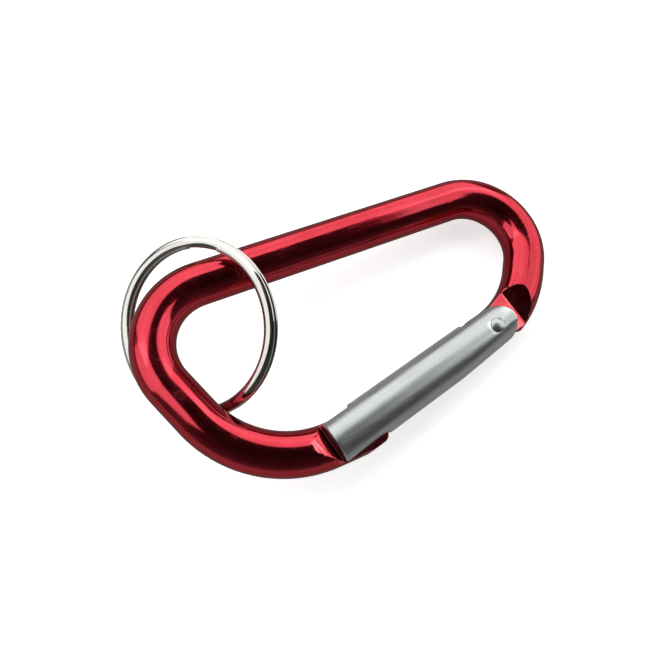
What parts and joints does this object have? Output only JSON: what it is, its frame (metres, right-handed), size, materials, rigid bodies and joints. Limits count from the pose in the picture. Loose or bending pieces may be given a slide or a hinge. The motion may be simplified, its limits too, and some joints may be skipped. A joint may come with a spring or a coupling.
{
  "type": "carabiner keyring",
  "caption": "Offset-D carabiner of bent round bar with a sprung, slotted gate and a split ring threaded on its spine.",
  "frame": {"origin": "middle of the carabiner's opening, in the mid-plane of the bent bar", "axes": "+X along the straight spine from the wide (nose) end to the narrow (pivot) end, +Y from the gate to the spine, +Z square to the plane of the bar, on the side where the split ring crosses over the spine"},
  "size_m": [0.0804, 0.0466, 0.0204],
  "materials": {
    "red_anodised": "polished and anodised translucent red",
    "satin_aluminium": "satin",
    "rivet_steel": "plain, formed head",
    "spring_steel": "drawn wire",
    "nickel_plate": "bright nickel plate"
  },
  "bodies": {
    "carabiner": {"body": "red_anodised"},
    "gate": {"gate": "satin_aluminium", "pivot_rivet": "rivet_steel", "gate_spring": "spring_steel"},
    "plunger": {"spring_plunger": "spring_steel"},
    "ring": {"split_ring": "nickel_plate"}
  },
  "joints": [
    {"name": "gate_hinge", "type": "hinge", "parent": "carabiner", "child": "gate", "pos_m": [0.0203, -0.0116, 0], "axis": [0, 0, -1], "range_deg": [0, 45], "stiffness_Nm_per_rad": 0.004, "springref_deg": -114.59},
    {"name": "plunger_slide", "type": "slide", "parent": "gate", "child": "plunger", "axis": [-0.9792, -0.2028, 0], "range_m": [0, 0.00154], "deforming": ["gate_spring"]},
    {"name": "ring_swing", "type": "hinge", "parent": "carabiner", "child": "ring", "pos_m": [-0.027, 0.015, 0], "axis": [1, 0, 0], "range_deg": [-2, 170]}
  ],
  "couplings": [
    {"joint": "plunger_slide", "follows": "gate_hinge", "m_per_rad": 0.0019614}
  ]
}
